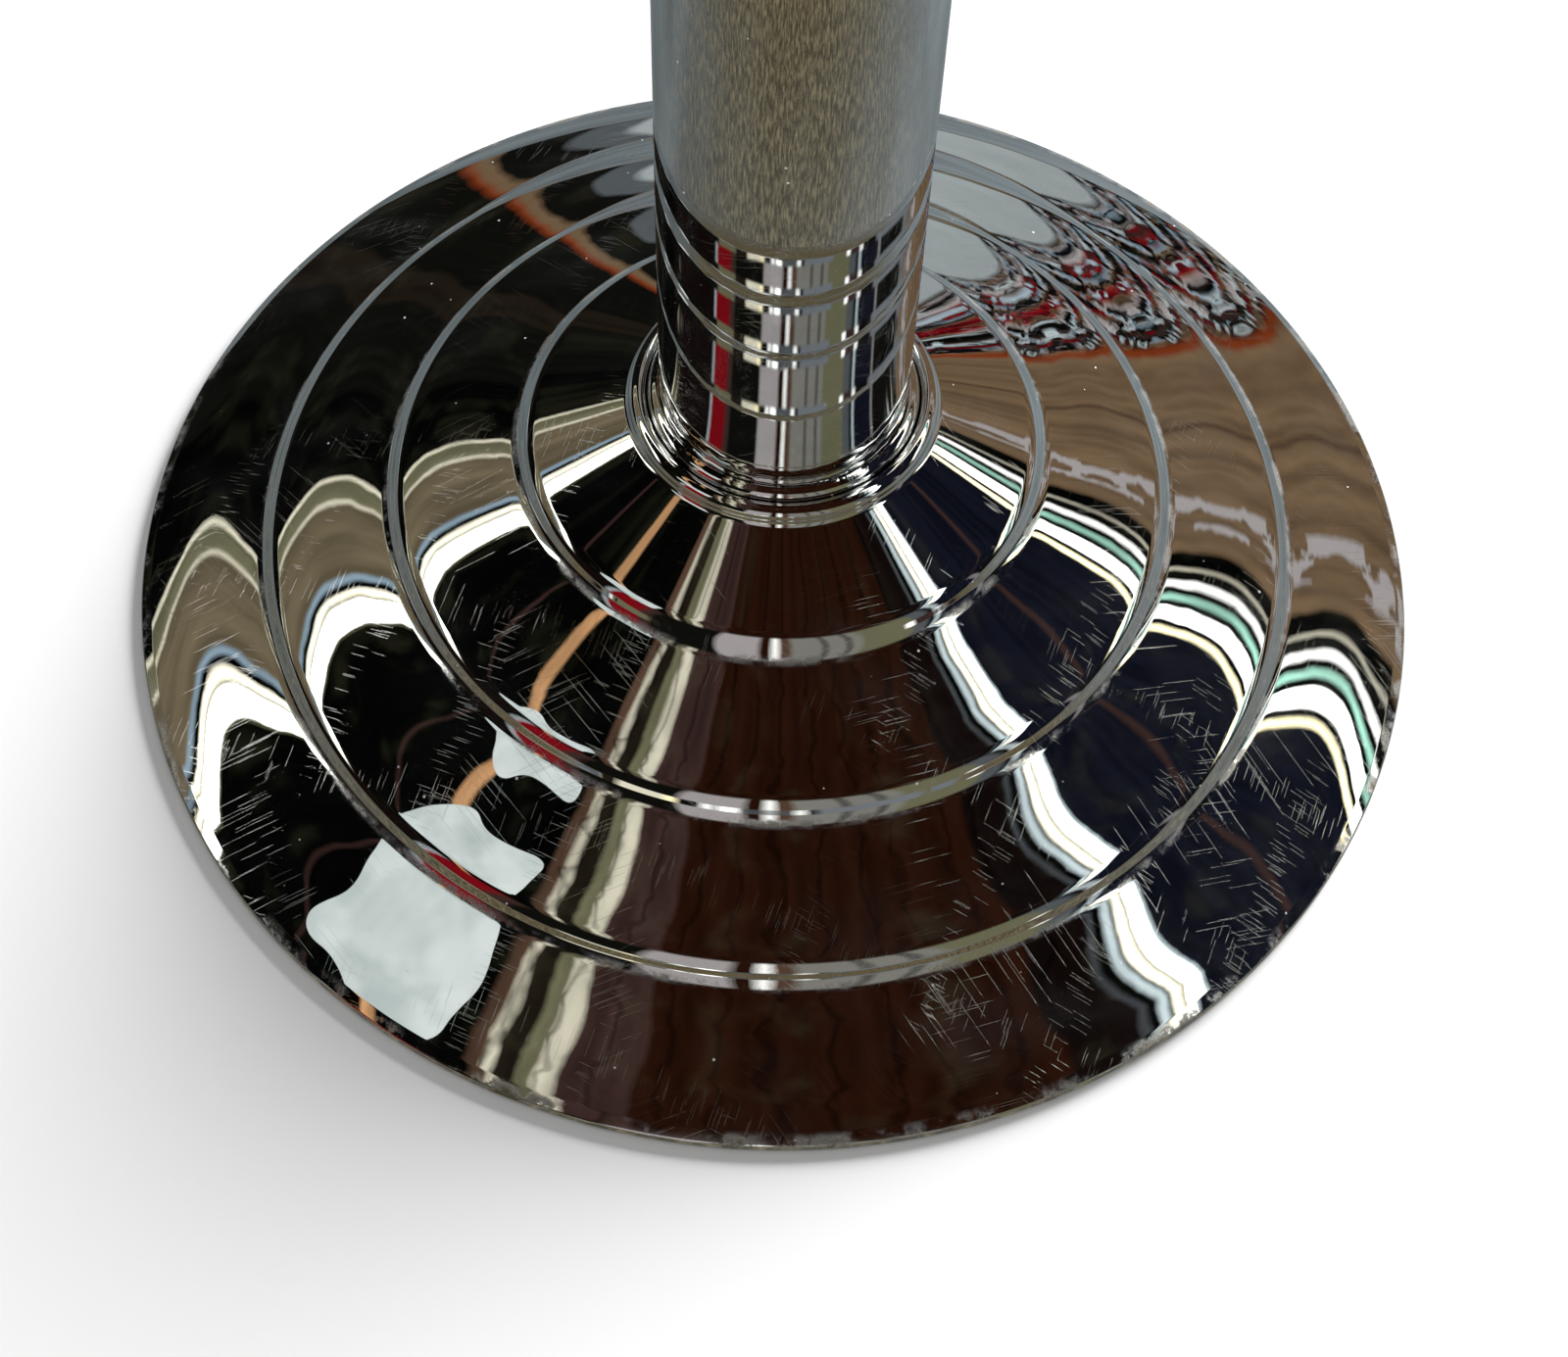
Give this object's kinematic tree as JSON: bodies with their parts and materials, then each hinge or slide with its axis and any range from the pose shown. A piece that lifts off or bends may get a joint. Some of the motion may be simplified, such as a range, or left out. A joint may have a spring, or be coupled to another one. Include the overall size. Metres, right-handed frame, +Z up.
{
  "type": "rope barrier stanchion",
  "caption": "Chromed rope barrier post: tubular post on a round stepped base, with a swivelling collar of rope eyes under a ball finial.",
  "frame": {"origin": "on the floor at the middle of the round base", "axes": "+Z up along the post, +X through the first rope eye"},
  "size_m": [0.35, 0.35, 1],
  "materials": {
    "chrome": "polished, lightly scratched",
    "plated_steel": "satin",
    "zinc_steel": "satin",
    "cast_iron": "rough",
    "black_rubber": "matte",
    "nylon": "matte",
    "brass": "satin"
  },
  "bodies": {
    "post": {"base_cover": "chrome", "base_weight": "cast_iron", "bottom_plate": "plated_steel", "plate_screws": "zinc_steel", "floor_ring": "black_rubber", "bottom_plug": "zinc_steel", "tie_bolt": "zinc_steel", "lock_washer": "zinc_steel", "flat_washer": "zinc_steel", "neck_ring": "chrome", "post_tube": "chrome", "top_plug": "zinc_steel", "head_stud": "zinc_steel", "lower_washer": "nylon", "collar_bush": "brass", "upper_washer": "nylon", "head_nut": "zinc_steel", "finial_seat": "chrome", "finial_insert": "brass", "ball_finial": "chrome"},
    "collar": {"rope_collar": "chrome", "rope_eye_1": "chrome", "rope_eye_2": "chrome", "rope_eye_3": "chrome", "rope_eye_4": "chrome", "eye_nuts": "zinc_steel"}
  },
  "joints": [
    {"name": "collar_swivel", "type": "hinge", "parent": "post", "child": "collar", "pos_m": [0, 0, 0.91627], "axis": [0, 0, 1], "continuous": true}
  ]
}
